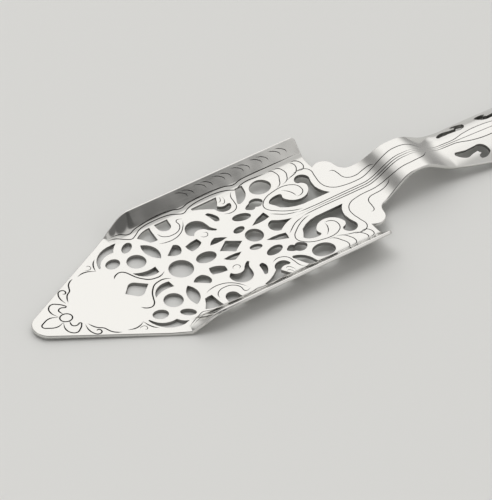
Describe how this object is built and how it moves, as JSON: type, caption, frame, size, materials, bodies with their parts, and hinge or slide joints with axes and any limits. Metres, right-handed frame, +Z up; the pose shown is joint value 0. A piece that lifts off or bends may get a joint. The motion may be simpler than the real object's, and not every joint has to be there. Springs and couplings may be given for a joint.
{
  "type": "absinthe spoon",
  "caption": "Pierced metal spoon with a pointed trowel tray between folded sides, a raised neck bridge and a crowned handle, made to hold a sugar cube over a glass.",
  "frame": {"origin": "middle of the spoon's length and width, on the table that it lies on", "axes": "+X along the spoon from the pointed tip to the handle's end, +Z up, the spoon lying on a table on the tray's front bend and the handle's lower edges"},
  "size_m": [0.1757, 0.0446, 0.0087],
  "materials": {
    "steel": "polished"
  },
  "bodies": {
    "root": {"spoon": "steel"}
  },
  "joints": []
}
